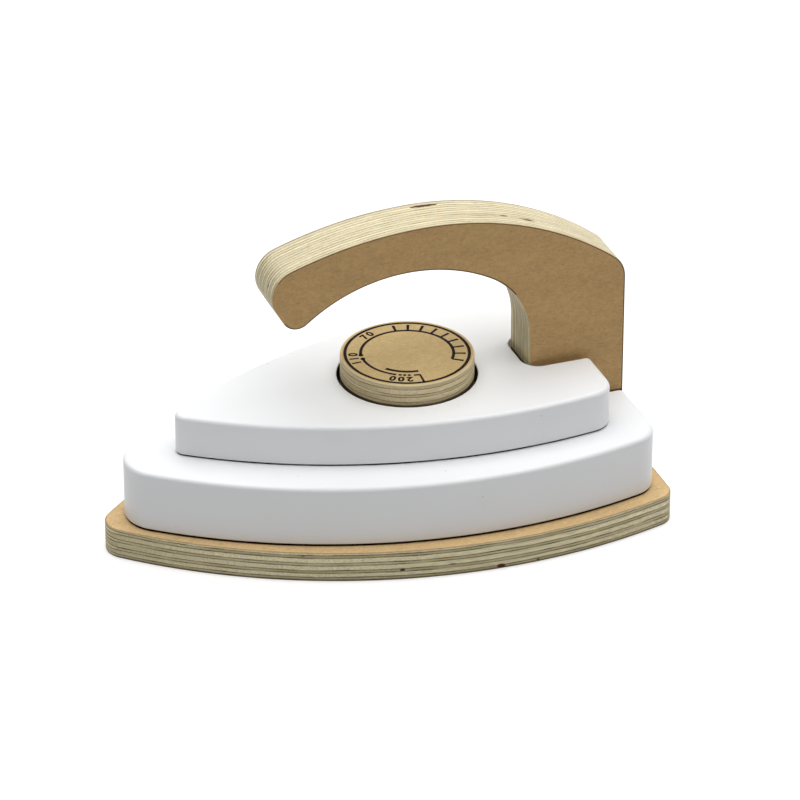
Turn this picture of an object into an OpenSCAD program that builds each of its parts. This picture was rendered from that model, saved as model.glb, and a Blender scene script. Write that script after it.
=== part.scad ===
// Pretend-play iron: a plywood sole, two painted body boards, a plywood handle and a dial that turns.
// Sizes are in millimetres. +Z is up, the nose points to -X and the heel to +X.
// The origin is on the floor under the middle of the sole.

/* [Sole] */
// Length of the sole from nose to heel
sole_length = 188; // [170:1:210]
// Width across the sole's heel, where its curved sides would meet the straight edge
sole_heel_w = 95.8; // [90:0.2:104]
// Thickness of the sole board
sole_t = 10.8; // [9:0.2:14]
// Radius of the sole's nose, seen from above
sole_nose_r = 8.5; // [6:0.5:13]
// Radius of the sole's heel corners, seen from above
sole_corner_r = 7; // [3:0.5:9]
// Rounding of the sole's upper edge
sole_edge_r = 0.4; // [0.2:0.1:1]

/* [Body boards] */
// Radius of the long curved sides, the same on the sole and on both body boards
side_r = 185; // [172:1:210]
// Rounding of the upper edges of both body boards
edge_r = 2.5; // [1.5:0.1:3.5]
// Thickness of the lower body board
lower_t = 22.4; // [20:0.2:26]
// Distance of the lower board's nose behind the sole's nose
lower_nose_setback = 7.3; // [5:0.1:12]
// Distance of the lower board's heel in front of the sole's heel
lower_heel_setback = 4.3; // [2:0.1:8]
// Distance of the lower board's heel corners inside the sole's
lower_side_setback = 4.4; // [3:0.1:8]
// Radius of the lower board's nose, seen from above
lower_nose_r = 13.5; // [9:0.5:16]
// Radius of the lower board's heel corners, seen from above
lower_corner_r = 10.5; // [6:0.5:12]
// Thickness of the upper body board
upper_t = 15; // [14:0.2:20]
// Distance of the upper board's nose behind the lower board's nose
upper_nose_setback = 18.2; // [14:0.1:24]
// Distance of the upper board's heel in front of the lower board's heel
upper_heel_setback = 12.7; // [9:0.1:16]
// Distance of the upper board's heel corners inside the lower board's
upper_side_setback = 8.8; // [6:0.1:12]
// Radius of the upper board's nose, seen from above
upper_nose_r = 4; // [3.6:0.2:8]
// Radius of the upper board's heel corners, seen from above
upper_corner_r = 9; // [6:0.5:12]

/* [Handle] */
// Thickness of the handle board
handle_t = 18; // [14:0.5:21]
// Width of the handle's rear post, front to back
post_w = 34.7; // [29:0.1:40]
// Length of the handle from its tip to the back of its post
handle_length = 127.1; // [116:0.1:136]
// Height of the handle's top above the upper body board
handle_rise = 59.4; // [54:0.2:68]
// Distance of the grip's highest point in front of the post's back
apex_setback = 72.3; // [66:0.1:80]
// Radius of the grip's top in front of its highest point
grip_front_r = 145; // [122:1:180]
// Radius of the grip's top behind its highest point
grip_rear_r = 111; // [98:1:132]
// Thickness of the grip, from its top to the crown of the arch below it
grip_depth = 16.3; // [13:0.1:19]
// Radius of the grip's rounded tip
tip_r = 10; // [8:0.5:12]
// Angle at which the tip is cut back below, from the horizontal
tip_slant = 61; // [54:1:68]
// Rounding where the slanted tip meets the arch
tip_lower_r = 5.5; // [4:0.1:6.5]
// Radius of the arch under the grip
arch_r = 59; // [52:0.5:66]
// Distance of the arch's crown in front of the post's front
arch_setback = 43.3; // [39:0.1:47]
// Radius of the inner corner between the arch and the post
inner_corner_r = 28.5; // [22:0.5:34]
// Radius of the outer corner between the grip and the post
outer_corner_r = 10.5; // [7:0.5:14]
// How far the post's back stands behind the lower board's heel
post_proud = 0.7; // [0:0.1:1.5]
// How deep the post's foot is let into the lower board
foot_depth = 3; // [2:0.2:5]

/* [Handle slot] */
// Gap between the post's front and the end of its slot in both body boards
slot_front_gap = 2; // [1.6:0.1:3]
// Gap on each side of the post in its slot
slot_side_gap = 2.6; // [2.1:0.1:3.2]
// Radius of the slot's inner corners, seen from above
slot_corner_r = 6.4; // [5:0.1:7]

/* [Dial] */
// Diameter of the dial
dial_d = 45.8; // [38:0.2:50]
// Thickness of the dial board
dial_t = 10.8; // [9:0.2:12]
// Height of the dial's face above the upper body board
dial_proud = 7.6; // [6:0.1:8.4]
// Gap between the dial's edge and the wall of its recess
dial_gap = 1.2; // [0.8:0.1:2]
// Distance of the dial's centre in front of the sole's heel
dial_setback = 79.6; // [76:0.2:84]
// Diameter of the felt washer under the dial
felt_d = 30; // [22:1:36]
// Thickness of the felt washer under the dial
felt_t = 0.8; // [0.5:0.1:1.2]
// Diameter of the steel washer under the dial screw's head
washer_d = 12; // [10:0.5:14]
// Thickness of the steel washer under the dial screw's head
washer_t = 1; // [0.8:0.1:1.4]
// Free space below the dial screw's head
head_room = 0.8; // [0.5:0.1:1.5]
// Length of the dial screw inside the dial
dial_screw_bite = 7; // [5:0.5:7.5]

/* [Screws and dowels] */
// Outside diameter of every screw's thread
screw_d = 4; // [3.5:0.1:4.5]
// Depth of the screw thread
thread_depth = 0.6; // [0.4:0.1:0.8]
// Distance from one thread crest to the next
thread_pitch = 1.8; // [1.4:0.1:2.4]
// Diameter of the screw heads
head_d = 8; // [7:0.2:9]
// Height of the dial screw's pan head
pan_head_h = 2.6; // [2:0.1:3]
// Size of the cross recess in the screw heads, end to end
drive_w = 4; // [3:0.2:4.6]
// Width of each arm of the cross recess
drive_slot_w = 1; // [0.8:0.1:1.3]
// Depth of the cross recess
drive_depth = 1.6; // [1.2:0.1:2]
// How far the sole screws reach into the lower board
sole_screw_bite = 12; // [9:0.5:15]
// How far the body screws reach into the upper board
body_screw_bite = 9.6; // [7:0.2:10.4]
// How far the handle screws reach into the post
handle_screw_bite = 25; // [19:1:32]
// Distance between the two handle screws
handle_screw_spacing = 17; // [13:0.5:20]
// Diameter of the two locating dowels between the body boards
dowel_d = 8; // [6:0.5:9]
// How far each dowel reaches into the lower board
dowel_lower_reach = 10; // [8:0.5:13]
// How far each dowel reaches into the upper board
dowel_upper_reach = 8; // [6:0.5:9]

/* [Screw places] */
// Distance of the nose screw in the sole behind the sole's nose
sole_screw_nose_setback = 28; // [24:1:34]
// Distance of the side screws in the sole in front of the sole's heel
sole_screw_side_setback = 94; // [84:1:104]
// Distance of the side screws in the sole inside the line of its heel corners
sole_screw_side_inset = 13.9; // [9:0.1:20]
// Distance of the heel screws in the sole in front of the sole's heel
sole_screw_heel_setback = 20; // [18:1:26]
// Distance of the heel screws in the sole inside the line of its heel corners
sole_screw_heel_inset = 17.9; // [14:0.1:22]
// Distance of the front body screw behind the upper board's nose
body_screw_nose_setback = 22; // [18:1:26]
// Distance of the rear body screws in front of the upper board's heel
body_screw_heel_setback = 16; // [13:1:20]
// Distance of the rear body screws inside the line of the upper board's heel corners
body_screw_inset = 10.7; // [8:0.1:13.5]

/* [Fits] */
// Gap round every screw and dowel in its hole
screw_fit = 0.05; // [0.02:0.01:0.1]
// Running gap round the dial screw in the upper board
running_fit = 0.06; // [0.02:0.01:0.1]
// Gap round the screw inside a loose washer
washer_fit = 0.3; // [0.2:0.1:0.5]
// Space left at the blind end of each hole
end_gap = 0.6; // [0.4:0.1:1.2]

/* [Hidden] */

plywood_colour = [0.79, 0.66, 0.47];
grip_colour = [0.62, 0.5, 0.35];
paint_colour = [0.93, 0.93, 0.92];
steel_colour = [0.66, 0.67, 0.68];
felt_colour = [0.3, 0.3, 0.32];
beech_colour = [0.82, 0.68, 0.5];

$fn = 72;
side_fn = 360;
arc_step = 3;
through = 1;
// Angle at which two arcs of a board's outline cross, so that they never just touch
blend_angle = 3;

// Heights of the stacked boards
lower_z = sole_t;
upper_z = lower_z + lower_t;
deck_z = upper_z + upper_t;

// Ends of each board along X
sole_nose_x = -sole_length / 2;
sole_heel_x = sole_length / 2;
lower_nose_x = sole_nose_x + lower_nose_setback;
lower_heel_x = sole_heel_x - lower_heel_setback;
upper_nose_x = lower_nose_x + upper_nose_setback;
upper_heel_x = lower_heel_x - upper_heel_setback;

// Half the heel width of each board
sole_half_w = sole_heel_w / 2;
lower_half_w = sole_half_w - lower_side_setback;
upper_half_w = lower_half_w - upper_side_setback;

// The handle's post stands in a slot that runs through the upper board and into the lower one
post_back_x = lower_heel_x + post_proud;
post_front_x = post_back_x - post_w;
slot_front_x = post_front_x - slot_front_gap;
slot_half_w = handle_t / 2 + slot_side_gap;
foot_z = upper_z - foot_depth;
handle_top_z = deck_z + handle_rise;

// The dial lies on its felt washer, at the bottom of its recess
dial_x = sole_heel_x - dial_setback;
dial_r = dial_d / 2;
recess_r = dial_r + dial_gap;
recess_z = deck_z - (dial_t - dial_proud + felt_t);
dial_z = recess_z + felt_t;
pocket_r = washer_d / 2 + washer_fit;
pocket_top_z = upper_z + head_room + pan_head_h + washer_t;
dial_screw_z = pocket_top_z - washer_t;
dial_screw_shank = dial_z - dial_screw_z;

// A countersunk head is a 90 degree cone down to the thread's outside
thread_r = screw_d / 2;
head_r = head_d / 2;
head_h = head_r - thread_r;
hole_r = thread_r + screw_fit;

sole_screw_len = sole_t + sole_screw_bite;
body_screw_len = lower_t + body_screw_bite;
handle_screw_len = foot_z - lower_z + handle_screw_bite;

// Places of the screws and dowels, seen from above
sole_nose_screw = [sole_nose_x + sole_screw_nose_setback, 0];
sole_side_screw = [sole_heel_x - sole_screw_side_setback, sole_half_w - sole_screw_side_inset];
sole_heel_screw = [sole_heel_x - sole_screw_heel_setback, sole_half_w - sole_screw_heel_inset];
body_nose_screw = [upper_nose_x + body_screw_nose_setback, 0];
body_heel_screw = [upper_heel_x - body_screw_heel_setback, upper_half_w - body_screw_inset];
post_middle_x = (post_front_x + post_back_x) / 2;
handle_front_screw = [post_middle_x - handle_screw_spacing / 2, 0];
handle_rear_screw = [post_middle_x + handle_screw_spacing / 2, 0];
// One dowel is midway from the front body screw to the dial's recess, the other from there to the post's slot
front_dowel = [(body_nose_screw.x + dial_x - recess_r) / 2, 0];
rear_dowel = [(dial_x + recess_r + slot_front_x) / 2, 0];

function mirrored(place) = [place.x, -place.y];
sole_screw_places = [sole_nose_screw, sole_side_screw, mirrored(sole_side_screw),
    sole_heel_screw, mirrored(sole_heel_screw)];
body_screw_places = [body_nose_screw, body_heel_screw, mirrored(body_heel_screw)];
handle_screw_places = [handle_front_screw, handle_rear_screw];
dowel_places = [front_dowel, rear_dowel];

// The point at distance ra from a and rb from b, on the right of the way from a to b
function meeting_point(a, ra, b, rb) =
    let (way = b - a, gap = norm(way), along = (ra * ra - rb * rb + gap * gap) / (2 * gap),
        aside = sqrt(ra * ra - along * along))
    a + along * way / gap + aside * [way.y, -way.x] / gap;

function angle_of(way) = atan2(way.y, way.x);

function towards(from, to, distance) = from + (to - from) / norm(to - from) * distance;

function arc(centre, radius, from, to) =
    let (steps = max(2, ceil(abs(to - from) / arc_step)))
    [for (i = [0:steps]) let (a = from + (to - from) * i / steps)
        centre + radius * [cos(a), sin(a)]];

// Half section of a round board whose upper edge is rounded
module edge_profile(radius, thickness, rounding) {
    square([radius - rounding, thickness]);
    square([radius, thickness - rounding]);
    translate([radius - rounding, thickness - rounding])
        intersection() {
            circle(rounding);
            square(rounding);
        }
}

module round_board(radius, thickness, rounding) {
    rotate_extrude($fn = side_fn) edge_profile(radius, thickness, rounding);
}

module small_disc(place, radius, thickness, rounding) {
    translate([place.x, place.y, 0]) rotate_extrude() edge_profile(radius, thickness, rounding);
}

// Distance between the centres of a side arc and a small arc that crosses it at the blend angle
function arc_offset(radius) = sqrt(side_r * side_r + radius * radius - 2 * side_r * radius * cos(blend_angle));

// A board with the iron's outline: a round nose, two long curved sides and a straight heel with round
// corners. Two large round boards and the heel's slab cut its outline, and small discs round its points.
module iron_board(nose_x, nose_r, heel_x, half_w, corner_r, thickness, rounding) {
    nose = [nose_x + nose_r, 0];
    side = meeting_point(nose, arc_offset(nose_r), [heel_x, half_w], side_r);
    corner_x = heel_x - corner_r * cos(blend_angle);
    corner = [corner_x, side.y + sqrt(pow(arc_offset(corner_r), 2) - pow(corner_x - side.x, 2))];
    far = 2 * side_r;
    // The rest of the outline, between the rays that part it from the discs
    rest = [nose, towards(side, nose, far), towards(side, corner, far), corner, [far, corner.y]];
    intersection() {
        translate([heel_x - far, 0, 0]) rotate([90, 0, 0])
            linear_extrude(far, center = true) edge_profile(far, thickness, rounding);
        union() {
            small_disc(nose, nose_r, thickness, rounding);
            small_disc(corner, corner_r, thickness, rounding);
            small_disc(mirrored(corner), corner_r, thickness, rounding);
            translate([0, 0, -through]) linear_extrude(thickness + 2 * through)
                polygon([for (p = rest) p, for (i = [len(rest) - 1:-1:1]) mirrored(rest[i])]);
        }
        translate([side.x, side.y, 0]) round_board(side_r, thickness, rounding);
        translate([side.x, -side.y, 0]) round_board(side_r, thickness, rounding);
    }
}

// Side view of the handle, as points in X and Z. Every arc is tangent to the next one.
function handle_outline() =
    let (apex_x = post_back_x - apex_setback,
        front = [apex_x, handle_top_z - grip_front_r],
        rear = [apex_x, handle_top_z - grip_rear_r],
        corner_x = post_back_x - outer_corner_r,
        corner = [corner_x, rear.y + sqrt(pow(grip_rear_r - outer_corner_r, 2) - pow(corner_x - rear.x, 2))],
        tip_x = post_back_x - handle_length + tip_r,
        tip = [tip_x, front.y + sqrt(pow(grip_front_r - tip_r, 2) - pow(tip_x - front.x, 2))],
        arch = [post_front_x - arch_setback, handle_top_z - grip_depth - arch_r],
        inner_x = post_front_x - inner_corner_r,
        inner = [inner_x, arch.y + sqrt(pow(arch_r - inner_corner_r, 2) - pow(inner_x - arch.x, 2))],
        slant_normal = 270 - tip_slant,
        down = [cos(tip_slant), -sin(tip_slant)],
        start = tip + (tip_r - tip_lower_r) * [cos(slant_normal), sin(slant_normal)],
        lead = (start - arch) * down,
        reach = arch_r + tip_lower_r,
        low = start + (-lead - sqrt(lead * lead - (start - arch) * (start - arch) + reach * reach)) * down)
    [[post_front_x, foot_z], [post_back_x, foot_z],
        each arc(corner, outer_corner_r, 0, angle_of(corner - rear)),
        each arc(rear, grip_rear_r, angle_of(corner - rear), 90),
        each arc(front, grip_front_r, 90, angle_of(tip - front)),
        each arc(tip, tip_r, angle_of(tip - front), slant_normal),
        each arc(low, tip_lower_r, slant_normal, 360 + angle_of(arch - low)),
        each arc(arch, arch_r, angle_of(low - arch), angle_of(inner - arch)),
        each arc(inner, inner_corner_r, angle_of(inner - arch), 0)];

// Space for one screw that points up, with a blind end
module screw_hole(place, z, length) {
    translate([place.x, place.y, z]) {
        cylinder(h = length + end_gap, r = hole_r);
        translate([0, 0, -through])
            cylinder(h = through + head_h, r1 = head_r + through + screw_fit, r2 = hole_r);
    }
}

module cross_recess() {
    for (turn = [0, 90])
        rotate([0, 0, turn]) translate([-drive_w / 2, -drive_slot_w / 2, -through])
            cube([drive_w, drive_slot_w, through + drive_depth]);
}

// Countersunk wood screw that points up, with its head's face at z. The thread is drawn as rings.
module wood_screw(place, z, length) {
    core_r = thread_r - thread_depth;
    turns = floor((length - head_h - thread_r) / thread_pitch);
    start = length - thread_r - turns * thread_pitch;
    translate([place.x, place.y, z]) difference() {
        rotate_extrude() polygon([[0, 0], [head_r, 0], [thread_r, head_h], [thread_r, start],
            for (i = [0:turns - 1]) each [[core_r, start + (i + 0.5) * thread_pitch],
                [thread_r, start + (i + 1) * thread_pitch]],
            [0, length]]);
        cross_recess();
    }
}

module dowel(place) {
    translate([place.x, place.y, upper_z - dowel_lower_reach])
        cylinder(h = dowel_lower_reach + dowel_upper_reach, r = dowel_d / 2);
}

module dowel_hole(place) {
    translate([place.x, place.y, upper_z - dowel_lower_reach - end_gap])
        cylinder(h = dowel_lower_reach + dowel_upper_reach + 2 * end_gap, r = dowel_d / 2 + screw_fit);
}

module soleplate() {
    color(plywood_colour) difference() {
        iron_board(sole_nose_x, sole_nose_r, sole_heel_x, sole_half_w, sole_corner_r, sole_t, sole_edge_r);
        for (place = sole_screw_places) screw_hole(place, 0, sole_screw_len);
    }
}

module lower_body() {
    color(paint_colour) difference() {
        translate([0, 0, lower_z])
            iron_board(lower_nose_x, lower_nose_r, lower_heel_x, lower_half_w, lower_corner_r, lower_t, edge_r);
        for (place = sole_screw_places) screw_hole(place, 0, sole_screw_len);
        for (place = body_screw_places) screw_hole(place, lower_z, body_screw_len);
        for (place = handle_screw_places) screw_hole(place, lower_z, handle_screw_len);
        for (place = dowel_places) dowel_hole(place);
        post_slot(foot_z, foot_depth + through);
    }
}

// The upper board has the dial's recess, a pocket for the dial screw's head and a slot for the post
module upper_body() {
    color(paint_colour) difference() {
        translate([0, 0, upper_z])
            iron_board(upper_nose_x, upper_nose_r, upper_heel_x, upper_half_w, upper_corner_r, upper_t, edge_r);
        for (place = body_screw_places) screw_hole(place, lower_z, body_screw_len);
        for (place = dowel_places) dowel_hole(place);
        translate([dial_x, 0, recess_z]) cylinder(h = deck_z - recess_z + through, r = recess_r);
        translate([dial_x, 0, upper_z]) cylinder(h = upper_t, r = thread_r + running_fit);
        translate([dial_x, 0, upper_z - through]) cylinder(h = pocket_top_z - upper_z + through, r = pocket_r);
        post_slot(upper_z - through, upper_t + 2 * through);
    }
}

// Space for the post, open towards the heel
module post_slot(z, height) {
    length = post_back_x - slot_front_x + through;
    translate([slot_front_x, 0, z]) {
        translate([slot_corner_r, -slot_half_w, 0]) cube([length - slot_corner_r, 2 * slot_half_w, height]);
        translate([0, -slot_half_w + slot_corner_r, 0])
            cube([2 * slot_corner_r, 2 * (slot_half_w - slot_corner_r), height]);
        for (side = [-1, 1])
            translate([slot_corner_r, side * (slot_half_w - slot_corner_r), 0])
                cylinder(h = height, r = slot_corner_r);
    }
}

module handle() {
    color(grip_colour) difference() {
        rotate([90, 0, 0]) linear_extrude(handle_t, center = true) polygon(handle_outline());
        for (place = handle_screw_places) screw_hole(place, lower_z, handle_screw_len);
    }
}

module dial() {
    color(plywood_colour) translate([dial_x, 0, dial_z]) difference() {
        cylinder(h = dial_t, r = dial_r);
        translate([0, 0, -through]) cylinder(h = through + dial_screw_bite + end_gap, r = hole_r);
    }
}

// Pan-head screw that comes up from below, turns with the dial and holds it down
module dial_screw() {
    core_r = thread_r - thread_depth;
    turns = floor((dial_screw_bite - thread_r) / thread_pitch);
    length = dial_screw_shank + dial_screw_bite;
    start = length - thread_r - turns * thread_pitch;
    head_edge_h = pan_head_h / 2;
    color(steel_colour) translate([dial_x, 0, dial_screw_z]) difference() {
        rotate_extrude() polygon([[0, -pan_head_h], [head_r - head_edge_h, -pan_head_h],
            [head_r, -head_edge_h], [head_r, 0], [thread_r, 0], [thread_r, start],
            for (i = [0:turns - 1]) each [[core_r, start + (i + 0.5) * thread_pitch],
                [thread_r, start + (i + 1) * thread_pitch]],
            [0, length]]);
        translate([0, 0, -pan_head_h]) cross_recess();
    }
}

module washer(z, outer_r, thickness) {
    translate([dial_x, 0, z]) difference() {
        cylinder(h = thickness, r = outer_r);
        translate([0, 0, -through]) cylinder(h = thickness + 2 * through, r = thread_r + washer_fit);
    }
}

module dial_head_washer() {
    color(steel_colour) washer(pocket_top_z - washer_t, washer_d / 2, washer_t);
}

module dial_felt_washer() {
    color(felt_colour) washer(recess_z, felt_d / 2, felt_t);
}

module dowel_front() {
    color(beech_colour) dowel(front_dowel);
}

module dowel_rear() {
    color(beech_colour) dowel(rear_dowel);
}

module body_screw_front() {
    color(steel_colour) wood_screw(body_nose_screw, lower_z, body_screw_len);
}

module body_screw_left() {
    color(steel_colour) wood_screw(body_heel_screw, lower_z, body_screw_len);
}

module body_screw_right() {
    color(steel_colour) wood_screw(mirrored(body_heel_screw), lower_z, body_screw_len);
}

module handle_screw_front() {
    color(steel_colour) wood_screw(handle_front_screw, lower_z, handle_screw_len);
}

module handle_screw_rear() {
    color(steel_colour) wood_screw(handle_rear_screw, lower_z, handle_screw_len);
}

module sole_screw_nose() {
    color(steel_colour) wood_screw(sole_nose_screw, 0, sole_screw_len);
}

module sole_screw_left() {
    color(steel_colour) wood_screw(sole_side_screw, 0, sole_screw_len);
}

module sole_screw_right() {
    color(steel_colour) wood_screw(mirrored(sole_side_screw), 0, sole_screw_len);
}

module sole_screw_heel_left() {
    color(steel_colour) wood_screw(sole_heel_screw, 0, sole_screw_len);
}

module sole_screw_heel_right() {
    color(steel_colour) wood_screw(mirrored(sole_heel_screw), 0, sole_screw_len);
}

soleplate();
lower_body();
upper_body();
handle();
dial();
dial_screw();
dial_head_washer();
dial_felt_washer();
dowel_front();
dowel_rear();
body_screw_front();
body_screw_left();
body_screw_right();
handle_screw_front();
handle_screw_rear();
sole_screw_nose();
sole_screw_left();
sole_screw_right();
sole_screw_heel_left();
sole_screw_heel_right();
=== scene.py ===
import math

import bmesh
import bpy
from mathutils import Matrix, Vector, noise


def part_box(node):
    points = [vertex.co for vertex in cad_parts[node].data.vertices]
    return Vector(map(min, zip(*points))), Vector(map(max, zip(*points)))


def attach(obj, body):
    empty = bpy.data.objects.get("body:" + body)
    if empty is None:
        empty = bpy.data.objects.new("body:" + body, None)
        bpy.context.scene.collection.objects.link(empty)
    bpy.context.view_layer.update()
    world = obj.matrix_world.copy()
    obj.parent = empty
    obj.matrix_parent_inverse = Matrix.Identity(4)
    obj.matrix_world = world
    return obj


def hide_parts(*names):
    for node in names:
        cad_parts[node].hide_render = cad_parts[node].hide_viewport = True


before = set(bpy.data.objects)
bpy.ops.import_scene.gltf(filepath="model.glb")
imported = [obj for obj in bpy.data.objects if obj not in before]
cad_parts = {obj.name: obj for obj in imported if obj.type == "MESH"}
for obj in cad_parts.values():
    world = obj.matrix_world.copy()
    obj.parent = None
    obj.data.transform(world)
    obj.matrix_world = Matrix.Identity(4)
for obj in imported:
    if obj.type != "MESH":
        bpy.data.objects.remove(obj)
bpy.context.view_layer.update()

# Sole board
# The lowest board is 10.8 mm birch plywood, sawn to an iron's outline, sanded and oiled. Nine plies
# show in its edge, with a few small voids, and five screws come up through countersunk holes.
# Sizes are in millimetres until a piece is made.
SIDE_R = 185.0
SIDE_ARC_LENGTH = 190.0
CROSSING_ANGLE = math.radians(3)
POINT_SPACING = 1.6
FINE_SPACING = 0.3
CORNER_STEPS = 14
HEEL_STEPS = 24


def edges_of(node):
    """Lowest and highest corner of a CAD node, in millimetres."""
    low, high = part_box(node)
    return low * 1000, high * 1000


def steps(start, end, count):
    return [start + (end - start) * i / count for i in range(count + 1)]


def polar(centre, radius, angle):
    return (centre[0] + radius * math.cos(angle), centre[1] + radius * math.sin(angle))


def circle(centre, radius, count):
    return [polar(centre, radius, a) for a in steps(0, 2 * math.pi, count)[:-1]]


def arc_gap(radius):
    """Distance between the centres of a side arc and a small arc that crosses it."""
    return math.sqrt(SIDE_R**2 + radius**2 - 2 * SIDE_R * radius * math.cos(CROSSING_ANGLE))


def iron_plan(nose_x, nose_r, heel_x, half_width, corner_r):
    """Centres and radii of the arcs of an iron's outline, seen from above."""
    nose = (nose_x + nose_r, 0.0)
    reach = arc_gap(nose_r)
    way = (heel_x - nose[0], half_width)
    gap = math.hypot(*way)
    along = (reach**2 - SIDE_R**2 + gap**2) / (2 * gap)
    aside = math.sqrt(reach**2 - along**2)
    side = (nose[0] + (along * way[0] + aside * way[1]) / gap, (along * way[1] - aside * way[0]) / gap)
    corner_x = heel_x - corner_r * math.cos(CROSSING_ANGLE)
    corner_y = side[1] + math.sqrt(arc_gap(corner_r) ** 2 - (corner_x - side[0]) ** 2)
    return {"nose": nose, "nose_r": nose_r, "side": side, "corner": (corner_x, corner_y),
            "corner_r": corner_r, "heel_x": heel_x}


def crossing(side, side_r, small, small_r):
    """Way from the side's centre to a small arc's centre, and where the arcs cross beside it."""
    way = (small[0] - side[0], small[1] - side[1])
    gap = math.hypot(*way)
    ahead = (side_r**2 - gap**2 - small_r**2) / (2 * gap)
    aside = math.sqrt(max(small_r**2 - ahead**2, 0.0))
    return math.atan2(way[1], way[0]), math.atan2(aside, ahead), math.asin(aside / side_r)


def iron_outline(plan, inset, fine_places=(), heel_path=None):
    """Closed outline of a board, drawn in by inset, from the nose round the heel and back."""
    nose_r, side_r, corner_r = (r - inset for r in (plan["nose_r"], SIDE_R, plan["corner_r"]))
    nose_way, nose_turn, nose_side = crossing(plan["side"], side_r, plan["nose"], nose_r)
    corner_way, corner_turn, corner_side = crossing(plan["side"], side_r, plan["corner"], corner_r)
    first, last = nose_way + nose_side, corner_way - corner_side
    heel_x = plan["heel_x"] - inset
    heel_turn = math.acos((heel_x - plan["corner"][0]) / corner_r)

    half = [polar(plan["nose"], nose_r, a) for a in steps(math.pi, nose_way + nose_turn, CORNER_STEPS)][:-1]
    shares = set(steps(0.0, 1.0, round(SIDE_R * (first - last) / POINT_SPACING)))
    too_near = 0.6 * FINE_SPACING / SIDE_ARC_LENGTH
    for x, half_length in fine_places:
        for near_x in steps(x - half_length, x + half_length, round(2 * half_length / FINE_SPACING)):
            share = (first - math.acos((near_x - plan["side"][0]) / SIDE_R)) / (first - last)
            shares = {s for s in shares if abs(s - share) > too_near} | {share}
    half += [polar(plan["side"], side_r, first + (last - first) * s) for s in sorted(shares)][:-1]
    half += [polar(plan["corner"], corner_r, a)
             for a in steps(corner_way - corner_turn, heel_turn, CORNER_STEPS)]
    half += heel_path(heel_x, half[-1][1]) if heel_path else [
        (heel_x, y) for y in steps(half[-1][1], 0.0, HEEL_STEPS)][1:]
    return half + [(x, -y) for x, y in half[-2:0:-1]]


def ring_of(bm, points, z):
    return [bm.verts.new((x, y, z)) for x, y in points]


def wrap(bm, rings, material=0):
    """Smooth skin from each ring of vertices to the next."""
    for low, high in zip(rings, rings[1:]):
        for i in range(len(low)):
            j = (i + 1) % len(low)
            face = bm.faces.new((low[i], low[j], high[j], high[i]))
            face.smooth = True
            face.material_index = material


def cover(bm, *rings, material=0):
    """Flat face across the first ring, open where the other rings are."""
    pairs = [(ring[i - 1], ring[i]) for ring in rings for i in range(len(ring))]
    edges = [bm.edges.get(pair) or bm.edges.new(pair) for pair in pairs]
    made = bmesh.ops.triangle_fill(bm, edges=edges, use_beauty=True, use_dissolve=False)
    for item in made["geom"]:
        if isinstance(item, bmesh.types.BMFace):
            item.smooth = False
            item.material_index = material


def quarter(radius, count):
    """Inset and drop of the points of a rounded edge, from the wall to the flat."""
    return [(radius * (1 - math.cos(a)), radius * (1 - math.sin(a))) for a in steps(0, math.pi / 2, count)]


PIT_DEPTH = 0.3
RAGGEDNESS = 0.3


def sink_voids(bm, places):
    """Small ragged pits in a sawn edge, kept in an attribute that the finish reads.

    A place is the void's middle, its half sizes and how dark and deep it is.
    """
    hollow = bm.verts.layers.float.new("void")
    bmesh.ops.recalc_face_normals(bm, faces=bm.faces)
    bm.normal_update()
    for centre, half_size, depth in places:
        for v in bm.verts:
            off = v.co - Vector(centre)
            share = sum((off[i] / half_size[i]) ** 2 for i in range(3))
            share += RAGGEDNESS * noise.noise(v.co * 0.9)
            if share < 1:
                v[hollow] = max(v[hollow], depth * (1 - max(share, 0)) ** 0.5)
                v.co -= v.normal * v[hollow] * PIT_DEPTH


def make_piece(bm, name, finishes, body, node=None):
    """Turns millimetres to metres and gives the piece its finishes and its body."""
    bmesh.ops.recalc_face_normals(bm, faces=bm.faces)
    bmesh.ops.scale(bm, verts=bm.verts, vec=(0.001,) * 3)
    mesh = bpy.data.meshes.new(name)
    bm.to_mesh(mesh)
    bm.free()
    for finish in finishes:
        mesh.materials.append(finish)
    piece = bpy.data.objects.new(name, mesh)
    bpy.context.scene.collection.objects.link(piece)
    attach(piece, body)
    if node:
        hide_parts(node)


def colour(code):
    """A colour written as sRGB hex, turned to linear."""
    parts = [int(code[i:i + 2], 16) / 255 for i in (1, 3, 5)]
    return (*((p / 12.92 if p <= 0.04045 else ((p + 0.055) / 1.055) ** 2.4) for p in parts), 1.0)


def add(tree, kind, inputs=None, **settings):
    """One node with its settings. An input is a number, a colour, a socket, or a node."""
    node = tree.nodes.new("ShaderNode" + kind)
    for key, value in settings.items():
        setattr(node, key, value)
    for key, value in (inputs or {}).items():
        socket = node.inputs[key] if isinstance(key, int) else next(
            s for s in node.inputs if s.name == key and s.enabled)
        if isinstance(value, bpy.types.Node):
            value = next(s for s in value.outputs if s.enabled)
        if isinstance(value, bpy.types.NodeSocket):
            tree.links.new(value, socket)
        else:
            socket.default_value = value
    return node


def set_stops(node, stops):
    """Gives a colour ramp its stops, each a place and a grey."""
    ramp = node.color_ramp
    while len(ramp.elements) > 1:
        ramp.elements.remove(ramp.elements[-1])
    for i, (place, grey) in enumerate(stops):
        stop = ramp.elements[0] if i == 0 else ramp.elements.new(place)
        stop.position = place
        stop.color = (grey, grey, grey, 1.0)
    return node


def new_material(name):
    material = bpy.data.materials.new(name)
    material.use_nodes = True
    material.node_tree.nodes.clear()
    return material, material.node_tree


# Object coordinates are in metres. Times this they are in millimetres, in which patterns are sized.
TO_MILLIMETRES = (1000.0,) * 3
FIBRE_LOW, FIBRE_HIGH = 0.78, 1.14
# The dark colour of a void is painted shade inside the pit
VOID_SHADE_TONE = "#4A260D"
SHADE_BAND_TONE = "#2B1A0E"
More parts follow.
